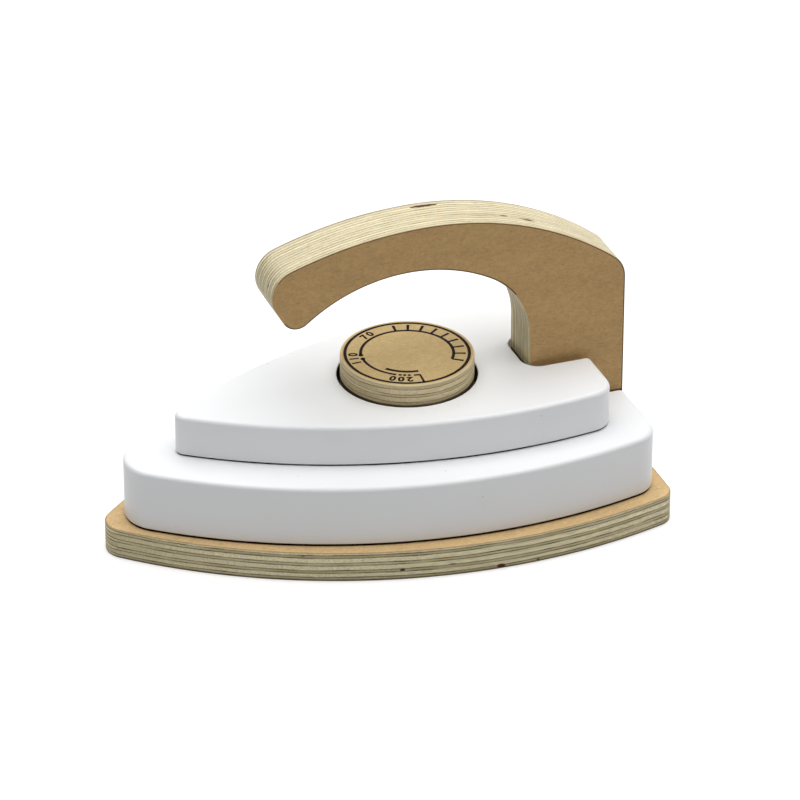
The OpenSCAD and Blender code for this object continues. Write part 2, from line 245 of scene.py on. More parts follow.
# The painted shade band, dark where the wood goes down into a slot or a recess: its height, and its fades at
# the top, the foot and the end, in metres
SHADE_BAND_HEIGHT = 0.0026
SHADE_BAND_TOP_FADE = 0.0007
SHADE_BAND_FOOT_FADE = 0.001
SHADE_BAND_END_FADE = 0.0004
SHADE_BAND_STRENGTH = 0.9


# Birch plywood: sheets of thin birch glued with their grain crossed by turns. The face shows a soft
# cloudy figure and short dashes of pores. In the edge, plies cut along their grain are pale and
# smooth, plies cut across it are darker and speckled, and thin brown glue lines part them.
# Where it stands in a slot or a recess, a dark band about 2 mm high is painted shade.
def birch_plywood(name, low, glue_lines, thickness, turned, veneer, along_ply, across_ply, glue, glue_width,
                  painted_arris_tone, roughness, end_grain=1.0, shade_bands=()):
    material, tree = new_material(name)
    place = add(tree, "TexCoord")
    lay = (math.pi / 2, 0.0, 0.0) if turned else (0.0, 0.0, 0.0)
    at = add(tree, "Mapping", {"Vector": place.outputs["Object"], "Rotation": lay, "Scale": TO_MILLIMETRES})
    facing = add(tree, "Mapping", {"Vector": place.outputs["Normal"], "Rotation": lay},
                 vector_type="VECTOR")
    normal = add(tree, "SeparateXYZ", {"Vector": facing})
    depth = add(tree, "SeparateXYZ", {"Vector": at}).outputs["Z"]

    def cloud(scale, detail, low_tone, high_tone, **more):
        """Noise stretched to a grain's size, as a tone round 1."""
        grain = add(tree, "TexNoise", {"Vector": add(tree, "Mapping", {"Vector": at, "Scale": scale}),
                                       "Scale": 1.0, "Detail": detail, **more})
        return add(tree, "MapRange", {"Value": grain.outputs["Fac"], "From Min": 0.3, "From Max": 0.7,
                                      "To Min": low_tone, "To Max": high_tone})

    # Plies are a little wavy: 0.3 mm over about 25 mm
    wavy = add(tree, "Math", {0: cloud((0.04, 0.04, 0.15), 2.0, -0.15, 0.15), 1: depth}, operation="ADD")
    share = add(tree, "MapRange", {"Value": wavy, "From Min": low, "From Max": low + thickness})
    line = glue_width / 2 / thickness
    stops, way = [(0.0, 0.0)], 0.0
    for z in glue_lines:
        stops += [(z / thickness - line, way), (z / thickness + line, 1.0 - way)]
        way = 1.0 - way
    crossed = set_stops(add(tree, "ValToRGB", {"Fac": share}), stops)

    # How much each ply is cut across its grain here. The difference comes and goes along the edge,
    # and a sanding belt leaves less of it.
    square = [add(tree, "Math", {0: normal.outputs[axis], 1: 2.0}, operation="POWER") for axis in "XY"]
    square[1] = add(tree, "Math", {0: square[1], 1: end_grain}, operation="MULTIPLY")
    across = add(tree, "Mix", {"Factor": crossed, "A": square[0], "B": square[1]}, data_type="FLOAT")
    across = add(tree, "MapRange", {"Value": across, "From Min": 0.15, "From Max": 0.75},
                 interpolation_type="SMOOTHSTEP")
    patches = cloud((0.05, 0.05, 0.4), 2.0, 0.6, 1.1)
    across = add(tree, "Math", {0: across, 1: patches}, operation="MULTIPLY")
    ply = add(tree, "Mix", {"Factor": across, "A": colour(along_ply), "B": colour(across_ply)},
              data_type="RGBA")

    # Each ply has its own tone, and fibres about 0.3 mm thick and 15 mm long run with its grain
    tone = cloud((0.012, 0.012, 0.75), 2.0, 0.88, 1.08)
    fibres = [cloud(scale, 3.0, FIBRE_LOW, FIBRE_HIGH) for scale in ((0.07, 2.6, 2.6), (2.6, 0.07, 2.6))]
    fibre = add(tree, "Mix", {"Factor": crossed, "A": fibres[0], "B": fibres[1]}, data_type="FLOAT")
    tone = add(tree, "Math", {0: tone, 1: fibre}, operation="MULTIPLY")
    ply = add(tree, "Mix", {"Factor": 1.0, "A": ply, "B": tone}, data_type="RGBA", blend_type="MULTIPLY")

    # A glue line is where one ply turns into the next, broken where the saw pulled at it. A real one is
    # 0.1 mm, too fine to show, so it is drawn three to five times as wide.
    half_way = add(tree, "Math", {0: crossed, 1: 0.5}, operation="SUBTRACT")
    parting = add(tree, "MapRange", {"Value": add(tree, "Math", {0: half_way}, operation="ABSOLUTE"),
                                     "From Min": 0.3, "From Max": 0.5, "To Min": 1.0, "To Max": 0.0})
    breaks = cloud((0.12, 0.12, 0.5), 3.0, 0.2, 1.0)
    parting = add(tree, "Math", {0: parting, 1: breaks}, operation="MULTIPLY")
    edge = add(tree, "Mix", {"Factor": parting, "A": ply, "B": colour(glue)}, data_type="RGBA")

    # The face: soft clouds of about 12 mm and 3 mm, fine grain, and short brown dashes of pores
    broad = cloud((0.05, 0.1, 0.1), 3.0, 0.95, 1.04, Distortion=0.6)
    small = cloud((0.3, 0.45, 0.45), 4.0, 0.94, 1.05)
    soft = add(tree, "Math", {0: broad, 1: small}, operation="MULTIPLY")
    figure = add(tree, "Math", {0: soft, 1: cloud((1.0, 1.3, 1.3), 3.0, 0.9, 1.08)}, operation="MULTIPLY")
    face = add(tree, "Mix", {"Factor": 1.0, "A": colour(veneer), "B": figure},
               data_type="RGBA", blend_type="MULTIPLY")
    pores = cloud((0.45, 4.5, 4.5), 1.0, -0.9, 0.26)
    face = add(tree, "Mix", {"Factor": pores, "A": face, "B": colour(glue)}, data_type="RGBA")

    flat = add(tree, "Math", {0: normal.outputs["Z"]}, operation="ABSOLUTE")
    flat = add(tree, "MapRange", {"Value": flat, "From Min": 0.55, "From Max": 0.8},
               interpolation_type="SMOOTHSTEP")
    wood = add(tree, "Mix", {"Factor": flat, "A": edge, "B": face}, data_type="RGBA")

    # An arris gets a painted tone: painted shade on the sole and the handle, a painted highlight on the
    # dial.
    # Voids are coloured dark as painted shade inside the missing bit of ply
    arris = add(tree, "Attribute", attribute_name="arris")
    arris_light_and_shade = add(tree, "Math", {0: arris.outputs["Fac"], 1: 0.85}, operation="MULTIPLY")
    wood = add(tree, "Mix", {"Factor": arris_light_and_shade, "A": wood, "B": colour(painted_arris_tone)}, data_type="RGBA")
    void = add(tree, "Attribute", attribute_name="void")
    hollow = add(tree, "MapRange", {"Value": void.outputs["Fac"], "From Min": 0.08, "From Max": 0.6,
                                    "To Min": 0.0, "To Max": 0.98})
    wood = add(tree, "Mix", {"Factor": hollow, "A": wood, "B": colour(VOID_SHADE_TONE)}, data_type="RGBA")

    # Painted shade: each band has its top, and the X at which it ends towards the heel
    here = add(tree, "SeparateXYZ", {"Vector": place.outputs["Object"]})
    for top, end in shade_bands:
        below = add(tree, "MapRange", {"Value": here.outputs["Z"], "From Min": top - SHADE_BAND_TOP_FADE,
                                       "From Max": top, "To Min": SHADE_BAND_STRENGTH, "To Max": 0.0})
        above = add(tree, "MapRange", {"Value": here.outputs["Z"], "From Min": top - SHADE_BAND_HEIGHT,
                                       "From Max": top - SHADE_BAND_HEIGHT + SHADE_BAND_FOOT_FADE})
        before = add(tree, "MapRange", {"Value": here.outputs["X"], "From Min": end - SHADE_BAND_END_FADE,
                                        "From Max": end, "To Min": 1.0, "To Max": 0.0})
        band_shade = add(tree, "Math", {0: below, 1: above}, operation="MULTIPLY")
        band_shade = add(tree, "Math", {0: band_shade, 1: before}, operation="MULTIPLY")
        wood = add(tree, "Mix", {"Factor": band_shade, "A": wood, "B": colour(SHADE_BAND_TONE)}, data_type="RGBA")

    rough = add(tree, "MapRange", {"Value": fibre, "From Min": FIBRE_LOW, "From Max": FIBRE_HIGH,
                                   "To Min": roughness - 0.06, "To Max": roughness + 0.08})
    ridges = add(tree, "Mix", {"Factor": flat, "A": fibre, "B": soft}, data_type="FLOAT")
    bump = add(tree, "Bump", {"Height": ridges, "Strength": 0.6, "Distance": 0.00015})
    skin = add(tree, "BsdfPrincipled", {"Base Color": wood, "Roughness": rough, "Normal": bump, "IOR": 1.45,
                                        "Specular IOR Level": 0.2})
    add(tree, "OutputMaterial", {"Surface": skin})
    return material


# Heights of the eight glue lines between the nine plies
NINE_PLIES = (0.45, 1.5, 3.1, 4.2, 6.1, 7.15, 9.05, 10.15)
sole_low, sole_high = edges_of("soleplate")
SOLE_THICKNESS = sole_high.z - sole_low.z
SOLE_EASE = 0.4
FLAT_STRIP = 0.25
EDGE_STEPS = 34
VOID_MARGIN = 0.6
sole_plan = iron_plan(nose_x=sole_low.x, nose_r=8.5, heel_x=sole_high.x, half_width=47.9, corner_r=7.0)
sole_voids = [
    ((-6.5, -52.5, 3.7), (1.0, 3.0, 0.62), 0.9),
    ((10.3, -55.6, 4.3), (1.7, 3.0, 0.45), 0.4),
    ((27.1, -57.1, 1.0), (1.7, 3.0, 0.7), 1.0),
    ((40.4, -57.3, 0.85), (0.7, 3.0, 0.45), 0.5),
    ((-38.0, -40.3, 9.6), (0.9, 3.0, 0.4), 0.5),
]
# Points stand closer together round the voids
fine_places = [(centre[0], half_size[0] + VOID_MARGIN) for centre, half_size, _ in sole_voids]
bm = bmesh.new()
ease = quarter(SOLE_EASE, 3)
sole_rings = [(SOLE_EASE + FLAT_STRIP, 0.0), *reversed(ease)]
sole_rings += [(0.0, z) for z in steps(SOLE_EASE, SOLE_THICKNESS - SOLE_EASE, EDGE_STEPS)[1:-1]]
sole_rings += [(inset, SOLE_THICKNESS - drop) for inset, drop in ease]
sole_rings += [(SOLE_EASE + FLAT_STRIP, SOLE_THICKNESS)]
arris = bm.verts.layers.float.new("arris")
rings = [ring_of(bm, iron_outline(sole_plan, inset, fine_places), z) for inset, z in sole_rings]
wrap(bm, rings)

# The arrises are darker, the lower one most, where the dark is painted contact shadow along the floor.
# Rings are counted up from the underside.
SOLE_ARRIS = {1: 1.0, 2: 1.0, 3: 1.0, 4: 0.9, 5: 0.4, -4: 0.4, -3: 0.5, -2: 0.4}
for k, strength in SOLE_ARRIS.items():
    for v in rings[k]:
        v[arris] = strength

# Holes for the sole screws: a cone for the head, then a plain bore
SCREW_BORE_R = 2.05
SCREW_MOUTH_R = 4.05
BORE_STEPS = 40
bores = []
for node in ("sole_screw_nose", "sole_screw_left", "sole_screw_right",
             "sole_screw_heel_left", "sole_screw_heel_right"):
    low, high = edges_of(node)
    centre = ((low.x + high.x) / 2, (low.y + high.y) / 2)
    cone_depth = SCREW_MOUTH_R - SCREW_BORE_R
    wall = ((SCREW_MOUTH_R, 0.0), (SCREW_BORE_R, cone_depth), (SCREW_BORE_R, SOLE_THICKNESS))
    bores.append([ring_of(bm, circle(centre, r, BORE_STEPS), z) for r, z in wall])
    wrap(bm, bores[-1])
cover(bm, rings[0], *[bore[0] for bore in bores])
cover(bm, rings[-1], *[bore[-1] for bore in bores])
sink_voids(bm, sole_voids)
sole_finish = birch_plywood("oiled_birch_sole", 0.0, NINE_PLIES, SOLE_THICKNESS, turned=False,
                            veneer="#DFBE8B", along_ply="#F4E9C4", across_ply="#C4B586",
                            glue="#3E2F18", glue_width=0.46, painted_arris_tone="#3A2410", roughness=0.55)
make_piece(bm, "sole_board", [sole_finish], "iron", "soleplate")

# Sole screws
# Five countersunk wood screws of zinc plated steel hold the sole from below. Their heads lie flush in
# the sole, with a cross recess, and they bite 12 mm into the lower board.

# Zinc plate: a pale, slightly blue metal with a soft sheen, mottled where the bath dried.
zinc_plate, tree = new_material("zinc_plated_steel")
at = add(tree, "Mapping", {"Vector": add(tree, "TexCoord").outputs["Object"], "Scale": TO_MILLIMETRES})
cloud = add(tree, "TexNoise", {"Vector": at, "Scale": 0.9, "Detail": 3.0})
tint = add(tree, "Mix", {"Factor": cloud.outputs["Fac"], "A": colour("#C9CCD0"), "B": colour("#B9B5A6")},
           data_type="RGBA")
grit = add(tree, "TexNoise", {"Vector": at, "Scale": 6.0, "Detail": 2.0})
sheen = add(tree, "MapRange", {"Value": grit.outputs["Fac"], "To Min": 0.24, "To Max": 0.46})
dimple = add(tree, "Bump", {"Height": grit.outputs["Fac"], "Strength": 0.3, "Distance": 0.00002})
skin = add(tree, "BsdfPrincipled", {"Base Color": tint, "Metallic": 1.0, "Roughness": sheen,
                                    "Normal": dimple})
add(tree, "OutputMaterial", {"Surface": skin})


def dress(node, finish):
    """Gives a CAD node's own mesh a finish."""
    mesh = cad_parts[node].data
    mesh.materials.clear()
    mesh.materials.append(finish)


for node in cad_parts:
    if node.startswith("sole_screw"):
        dress(node, zinc_plate)

# Lower body board
# The larger white board is 22.4 mm solid wood, rounded over along the top, primed, sanded and sprayed
# white. A narrow groove at its foot is coloured dark as painted shade, and reads as a dark line. The
# handle's post stands 3 mm deep in it, in a slot that is wider than the post.

# Satin lacquer: an even white with a soft sheen, a trace of orange peel, and rare specks of dust.
white_lacquer, tree = new_material("white_satin_lacquer")
at = add(tree, "Mapping", {"Vector": add(tree, "TexCoord").outputs["Object"], "Scale": TO_MILLIMETRES})
drift = add(tree, "TexNoise", {"Vector": at, "Scale": 0.035, "Detail": 2.0})
white = add(tree, "Mix", {"Factor": drift.outputs["Fac"], "A": colour("#F4F6F8"), "B": colour("#F0F1F2")},
            data_type="RGBA")
# Specks are about 0.5 mm across. Each is the middle of a cell 12 mm wide, and few of these middles
# lie at the surface.
cells = add(tree, "TexVoronoi", {"Vector": at, "Scale": 0.083, "Randomness": 1.0})
speck = add(tree, "MapRange", {"Value": cells.outputs["Distance"], "From Min": 0.012, "From Max": 0.024,
                               "To Min": 0.55, "To Max": 0.0})
white = add(tree, "Mix", {"Factor": speck, "A": white, "B": colour("#5A5C5A")}, data_type="RGBA")
peel = add(tree, "TexNoise", {"Vector": at, "Scale": 0.9, "Detail": 2.0})
swell = add(tree, "TexNoise", {"Vector": at, "Scale": 0.07, "Detail": 1.0})
relief = add(tree, "Math", {0: swell.outputs["Fac"], 1: 5.0, 2: peel.outputs["Fac"]},
             operation="MULTIPLY_ADD")
bump = add(tree, "Bump", {"Height": relief, "Strength": 0.35, "Distance": 0.00002})
sheen = add(tree, "MapRange", {"Value": peel.outputs["Fac"], "To Min": 0.34, "To Max": 0.48})
skin = add(tree, "BsdfPrincipled", {"Base Color": white, "Roughness": sheen, "Normal": bump, "IOR": 1.47,
                                    "Specular IOR Level": 0.4})
add(tree, "OutputMaterial", {"Surface": skin})


# Painted shade for grooves and a recess: a dark colour, in patches about 20 mm long and 2.5 mm high
def painted_shade_finish(name, dark, pale):
    finish, tree = new_material(name)
    at = add(tree, "Mapping", {"Vector": add(tree, "TexCoord").outputs["Object"],
                               "Scale": (50.0, 50.0, 400.0)})
    shade_noise = add(tree, "TexNoise", {"Vector": at, "Scale": 1.0, "Detail": 4.0})
    patch = add(tree, "MapRange", {"Value": shade_noise.outputs["Fac"], "From Min": 0.45, "From Max": 0.75})
    tint = add(tree, "Mix", {"Factor": patch, "A": colour(dark), "B": colour(pale)}, data_type="RGBA")
    skin = add(tree, "BsdfPrincipled", {"Base Color": tint, "Roughness": 0.85, "Specular IOR Level": 0.1})
    add(tree, "OutputMaterial", {"Surface": skin})
    return finish


ROUND_OVER = 1.6
GROOVE_DEPTH = 0.4
LOWER_GROOVE = 0.95
FOOT_EASE = 0.15


def board_profile(bottom, top):
    """Inset and height of a white board's rings above its groove, from its foot to its flat top."""
    profile = [(inset, bottom + rise) for inset, rise in reversed(quarter(FOOT_EASE, 2))]
    profile += [(0.0, bottom + FOOT_EASE + FLAT_STRIP), (0.0, top - ROUND_OVER - FLAT_STRIP)]
    profile += [(inset, top - drop) for inset, drop in quarter(ROUND_OVER, 10)]
    return profile + [(ROUND_OVER + FLAT_STRIP, top)]


# The post's slot: round corners in front, and its open end at the heel just eased
SLOT_HALF_WIDTH = 11.6
SLOT_CORNER_R = 6.4
SLOT_EASE = 0.3
MOUTH_R = 0.8
POST_WIDTH = 34.7
SLOT_FRONT_GAP = 2.0
HEEL_SIDE_STEPS = 12
post_low, post_high = edges_of("handle")
post_back, post_front = post_high.x, post_high.x - POST_WIDTH
slot_x = post_front - SLOT_FRONT_GAP
foot = post_low.z


def slot_path(ease):
    """Half of the heel's outline, from its corner into the slot and to the middle line."""
    side, front = SLOT_HALF_WIDTH + ease, slot_x - ease
    turn = (slot_x + SLOT_CORNER_R, SLOT_HALF_WIDTH - SLOT_CORNER_R)

    def path(heel_x, corner_y):
        mouth = (heel_x - MOUTH_R, side + MOUTH_R)
        return ([(heel_x, y) for y in steps(corner_y, mouth[1], HEEL_SIDE_STEPS)][1:]
                + [polar(mouth, MOUTH_R, a) for a in steps(0, -math.pi / 2, 5)][1:]
                + [(x, side) for x in steps(mouth[0], turn[0], 14)][1:]
                + [polar(turn, SLOT_CORNER_R + ease, a) for a in steps(math.pi / 2, math.pi, 12)][1:]
                + [(front, y) for y in steps(turn[1], 0.0, 6)][1:])
    return path


def slotted_ring(bm, plan, inset, z, top, strip=0.0):
    """Ring of a board with the slot, whose upper edge is eased."""
    rise = max(0.0, z - (top - SLOT_EASE))
    ease = SLOT_EASE - math.sqrt(max(SLOT_EASE**2 - rise**2, 0.0))
    return ring_of(bm, iron_outline(plan, inset, heel_path=slot_path(ease + strip)), z)


lower_low, lower_high = edges_of("lower_body")
lower_plan = iron_plan(nose_x=lower_low.x, nose_r=13.5, heel_x=lower_high.x, half_width=43.5, corner_r=10.5)
bm = bmesh.new()
profile = board_profile(lower_low.z + LOWER_GROOVE, lower_high.z)
walls = [(inset, z) for inset, z in profile if z < foot]


def plain_heel(heel_x, corner_y):
    """The heel below the slot, with the same points as above it as far as the slot's mouth."""
    mouth_y = SLOT_HALF_WIDTH + MOUTH_R
    ways = steps(corner_y, mouth_y, HEEL_SIDE_STEPS)[1:] + steps(mouth_y, 0.0, 10)[1:]
    return [(heel_x, y) for y in ways]


walls_to_foot = walls + [(0.0, foot - FLAT_STRIP), (0.0, foot)]
rings = [ring_of(bm, iron_outline(lower_plan, inset, heel_path=plain_heel), z)
         for inset, z in walls_to_foot]
groove = [ring_of(bm, iron_outline(lower_plan, GROOVE_DEPTH, heel_path=plain_heel), z)
          for z in (lower_low.z, lower_low.z + LOWER_GROOVE)]
# The groove at the foot is coloured dark as painted shade along the joint
wrap(bm, groove + rings[:1], material=1)
wrap(bm, rings)
cover(bm, groove[0])

# Above the foot's level the ring turns into the slot, and a flat floor joins the two
above = iron_outline(lower_plan, 0.0, heel_path=slot_path(0.0))
ROUNDING = 1e-6
shared = next(i for i, (x, y) in enumerate(above)
              if abs(x - lower_high.x) < ROUNDING and y < SLOT_HALF_WIDTH + MOUTH_R + ROUNDING)
plain = rings[-1]
inner = ring_of(bm, above[shared + 1:len(above) - shared], foot)
slotted = plain[:shared + 1] + inner + plain[len(plain) - shared:]
cover(bm, plain[shared:len(plain) - shared + 1] + inner[::-1])
rings = [slotted]
rings += [slotted_ring(bm, lower_plan, inset, z, lower_high.z) for inset, z in profile[len(walls):-1]]
rings.append(slotted_ring(bm, lower_plan, *profile[-1], lower_high.z, strip=FLAT_STRIP))
wrap(bm, rings)
cover(bm, rings[-1])
lower_finishes = [white_lacquer, painted_shade_finish("brown_painted_shade_groove", "#1B110C", "#3A2619")]
make_piece(bm, "lower_board", lower_finishes, "iron", "lower_body")

# Body screws, handle screws and dowels
# Three screws come up through the lower board into the upper one, and two more into the handle's post.
# Two beech dowels keep the boards in line. All are hidden once the sole is on.

# Turned beech: pink brown, with short dark flecks along the dowel.
turned_beech, tree = new_material("turned_beech")
at = add(tree, "Mapping", {"Vector": add(tree, "TexCoord").outputs["Object"],
                           "Scale": (1000.0, 1000.0, 120.0)})
fleck = add(tree, "TexNoise", {"Vector": at, "Scale": 1.4, "Detail": 3.0})
pink = add(tree, "Mix", {"Factor": fleck.outputs["Fac"], "A": colour("#D9B48C"), "B": colour("#B98C62")},
           data_type="RGBA")
bump = add(tree, "Bump", {"Height": fleck.outputs["Fac"], "Strength": 0.4, "Distance": 0.00004})
skin = add(tree, "BsdfPrincipled", {"Base Color": pink, "Roughness": 0.6, "Normal": bump})
add(tree, "OutputMaterial", {"Surface": skin})
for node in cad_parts:
    if node.startswith("dowel"):
        dress(node, turned_beech)
    elif node.startswith(("body_screw", "handle_screw")):
        dress(node, zinc_plate)

# Upper body board
# The smaller white board, 15 mm thick and finished like the lower one. A round recess takes the dial,
# and the slot that is open at the heel runs right through it. The recess's wall and floor are coloured
# dark as painted shade, and so is a groove at the board's foot.
RECESS_EASE = 0.35
POCKET_R = 6.3
POCKET_HEIGHT = 4.4
DIAL_SCREW_BORE_R = 2.06
UPPER_GROOVE = 0.65
DIAL_GAP = 1.2
FELT_THICKNESS = 0.8
RECESS_STEPS = 144
upper_low, upper_high = edges_of("upper_body")
upper_plan = iron_plan(nose_x=upper_low.x, nose_r=4.0, heel_x=upper_high.x, half_width=34.7, corner_r=9.0)
dial_low, dial_high = edges_of("dial")
dial_centre = ((dial_low.x + dial_high.x) / 2, 0.0)
dial_r = (dial_high.x - dial_low.x) / 2
recess_r = dial_r + DIAL_GAP
recess_floor = dial_low.z - FELT_THICKNESS

bm = bmesh.new()
profile = board_profile(upper_low.z + UPPER_GROOVE, upper_high.z)
rings = [slotted_ring(bm, upper_plan, inset, z, upper_high.z) for inset, z in profile[:-1]]
rings.append(slotted_ring(bm, upper_plan, *profile[-1], upper_high.z, strip=FLAT_STRIP))
groove = [slotted_ring(bm, upper_plan, GROOVE_DEPTH, z, upper_high.z)
          for z in (upper_low.z, upper_low.z + UPPER_GROOVE)]
# The groove at the foot is coloured dark as painted shade along the joint
wrap(bm, groove + rings[:1], material=1)
wrap(bm, rings)
recess = [(recess_r + RECESS_EASE + FLAT_STRIP, upper_high.z)]
recess += [(recess_r + inset, upper_high.z - drop) for inset, drop in reversed(quarter(RECESS_EASE, 3))]
recess += [(recess_r, upper_high.z - RECESS_EASE - FLAT_STRIP), (recess_r, recess_floor)]
pocket_top = upper_low.z + POCKET_HEIGHT
bore = [(DIAL_SCREW_BORE_R, recess_floor), (DIAL_SCREW_BORE_R, pocket_top)]
pocket = [(POCKET_R, pocket_top), (POCKET_R, upper_low.z)]
recess, bore, pocket = ([ring_of(bm, circle(dial_centre, r, RECESS_STEPS), z) for r, z in wall]
                        for wall in (recess, bore, pocket))
for wall in (recess[:-1], bore, pocket):
    wrap(bm, wall)
# The recess's wall and floor are coloured dark as painted shade
wrap(bm, recess[-2:], material=2)
cover(bm, rings[-1], recess[0])
cover(bm, recess[-1], bore[0], material=2)
cover(bm, pocket[0], bore[-1])
cover(bm, groove[0], pocket[-1])
upper_finishes = [white_lacquer, painted_shade_finish("grey_painted_shade_groove", "#15110F", "#77736E"),
                  painted_shade_finish("dark_painted_shade_recess", "#15110F", "#2E2823")]
make_piece(bm, "upper_board", upper_finishes, "iron", "upper_body")

# Handle
# One 18 mm board of birch plywood on edge, sawn to a long grip on a broad post, with its arrises only
# just broken by sanding. Thirteen plies show along the top. Its foot stands on the lower board.
OUTER_PLY, INNER_PLY = 0.9, 16.2 / 11
THIRTEEN_PLIES = tuple(OUTER_PLY + INNER_PLY * i for i in range(12))
HANDLE_EASE = 0.45
APEX_X = post_back - 72.3
FRONT_R, REAR_R, OUTER_R = 145.0, 111.0, 10.5
TIP_R, TIP_LOWER_R, TIP_SLANT = 10.0, 5.5, math.radians(61)
ARCH_R, INNER_R = 59.0, 28.5
ARCH_X, GRIP_DEPTH = post_front - 43.3, 16.3
ARC_SPACING = 0.8
FACE_STRIP = 0.65
BACK_STEPS, FRONT_STEPS, FOOT_STEPS, TOP_STEPS = 34, 24, 20, 52
handle_top = post_high.z
half_thick = post_high.y


def handle_outline(inset):
    """Side view of the handle, drawn in by inset: tangent arcs from the foot up the back and round."""
    front, rear = (APEX_X, handle_top - FRONT_R), (APEX_X, handle_top - REAR_R)
    corner_x, tip_x, inner_x = post_back - OUTER_R, post_low.x + TIP_R, post_front - INNER_R
    corner = (corner_x, rear[1] + math.sqrt((REAR_R - OUTER_R) ** 2 - (corner_x - APEX_X) ** 2))
    tip = (tip_x, front[1] + math.sqrt((FRONT_R - TIP_R) ** 2 - (tip_x - APEX_X) ** 2))
    arch = (ARCH_X, handle_top - GRIP_DEPTH - ARCH_R)
    inner = (inner_x, arch[1] + math.sqrt((ARCH_R - INNER_R) ** 2 - (inner_x - ARCH_X) ** 2))
    down = (math.cos(TIP_SLANT), -math.sin(TIP_SLANT))
    out = math.radians(270) - TIP_SLANT
    start = polar(tip, TIP_R - TIP_LOWER_R, out)
    off = (start[0] - arch[0], start[1] - arch[1])
    lead = off[0] * down[0] + off[1] * down[1]
    run = -lead - math.sqrt(lead**2 - off[0] ** 2 - off[1] ** 2 + (ARCH_R + TIP_LOWER_R) ** 2)
    low = (start[0] + run * down[0], start[1] + run * down[1])

    def way(a, b):
        return math.atan2(a[1] - b[1], a[0] - b[0])

    def arc(centre, radius, first, last, hollow=False):
        count = max(4, round(radius * abs(last - first) / ARC_SPACING))
        return [polar(centre, radius + (inset if hollow else -inset), a) for a in steps(first, last, count)]

    up = math.pi / 2
    arcs = [arc(corner, OUTER_R, 0.0, way(corner, rear)), arc(rear, REAR_R, way(corner, rear), up),
            arc(front, FRONT_R, up, way(tip, front)), arc(tip, TIP_R, way(tip, front), out),
            arc(low, TIP_LOWER_R, out, 2 * math.pi + way(arch, low)),
            arc(arch, ARCH_R, way(low, arch), way(inner, arch), hollow=True),
            arc(inner, INNER_R, way(inner, arch), 0.0, hollow=True)]
    points = [(post_back - inset, z) for z in steps(foot + inset, corner[1], BACK_STEPS)][:-1]
    # A straight line follows the tip's arc and the last one, so these two keep their end points
    for k, part in enumerate(arcs):
        points += part if k in (3, 6) else part[:-1]
    points += [(post_front + inset, z) for z in steps(inner[1], foot + inset, FRONT_STEPS)][1:]
    return points + [(x, foot + inset)
                     for x in steps(post_front + inset, post_back - inset, FOOT_STEPS)][1:-1]


handle_voids = [
    ((22.3, 6.3, 107.5), (5.2, 0.85, 3.0), 1.0),
    ((48.0, -2.6, 103.6), (2.0, 0.6, 3.0), 0.6),
    ((56.6, -3.3, 101.0), (3.4, 0.75, 3.0), 0.9),
    ((40.0, -2.9, 104.0), (28.0, 0.4, 9.0), 0.3),
    ((-36.4, -3.7, 92.6), (3.0, 0.6, 0.9), 0.6),
    ((6.0, 3.4, 107.0), (16.0, 0.3, 3.0), 0.18),
]
bm = bmesh.new()
arris = bm.verts.layers.float.new("arris")
ease = quarter(HANDLE_EASE, 3)
face_rings = [(HANDLE_EASE + FACE_STRIP, half_thick), (HANDLE_EASE + FLAT_STRIP, half_thick)]
face_rings += [(inset, half_thick - drop) for inset, drop in reversed(ease)]
across = [(inset, -y) for inset, y in face_rings]
across += [(0.0, y) for y in steps(-half_thick + HANDLE_EASE, half_thick - HANDLE_EASE, TOP_STEPS)[1:-1]]
across += reversed(face_rings)
rings = [[bm.verts.new((x, y, z)) for x, z in handle_outline(inset)] for inset, y in across]
wrap(bm, rings)
cover(bm, rings[0])
cover(bm, rings[-1])

# The arrises are darker all along the far side, and on the near side where they face down or back,
# as painted shade. On the near side the top one is light and the front one is left plain. Rings are
# counted from that side.
HANDLE_ARRIS_SHADE = {2: 1.0, 3: 1.0, 4: 0.4, -7: 0.3, -6: 0.7, -5: 0.9, -4: 1.0, -3: 1.0}
bmesh.ops.recalc_face_normals(bm, faces=bm.faces)
bm.normal_update()
for k, most in HANDLE_ARRIS_SHADE.items():
    for v in rings[k]:
        near, up = k > 0, v.normal.z > 0.2
        front = v.normal.x < -0.8 * math.hypot(v.normal.x, v.normal.z)
        v[arris] = most * (0.2 if near and up else 0.0 if near and front else 1.0)
# The near face's edge gets painted shade where it faces down
for v in rings[1]:
    v[arris] = 0.0 if v.normal.z > -0.01 else 0.8
sink_voids(bm, handle_voids)
# The handle's bands are painted shade where the post goes down into the slots of the two boards
handle_finish = birch_plywood("oiled_birch_handle", -half_thick, THIRTEEN_PLIES, 2 * half_thick, turned=True,
                              veneer="#C7A36F", along_ply="#E9DEBC", across_ply="#D3C69E",
                              glue="#6B5836", glue_width=0.42, painted_arris_tone="#241609", roughness=0.55,
                              end_grain=0.5, shade_bands=((0.0466, 0.0757), (0.0326, 0.2)))
make_piece(bm, "handle_board", [handle_finish], "iron", "handle")

# Felt washer, dial screw and steel washer
# The dial turns on a felt washer in its recess. A pan-head screw comes up from a pocket under the
# board and turns with it. All three are out of sight.

# Wool felt: grey matted fibres about 0.2 mm apart, with no sheen.
grey_felt, tree = new_material("grey_wool_felt")
at = add(tree, "Mapping", {"Vector": add(tree, "TexCoord").outputs["Object"], "Scale": TO_MILLIMETRES})
wool = add(tree, "TexNoise", {"Vector": at, "Scale": 2.5, "Detail": 6.0, "Roughness": 0.75})
grey = add(tree, "Mix", {"Factor": wool.outputs["Fac"], "A": colour("#3E3F42"), "B": colour("#6C6D70")},
           data_type="RGBA")
nap = add(tree, "Bump", {"Height": wool.outputs["Fac"], "Strength": 0.8, "Distance": 0.0001})
skin = add(tree, "BsdfPrincipled", {"Base Color": grey, "Roughness": 0.95, "Normal": nap})
add(tree, "OutputMaterial", {"Surface": skin})
dress("dial_felt_washer", grey_felt)
dress("dial_screw", zinc_plate)
dress("dial_head_washer", zinc_plate)

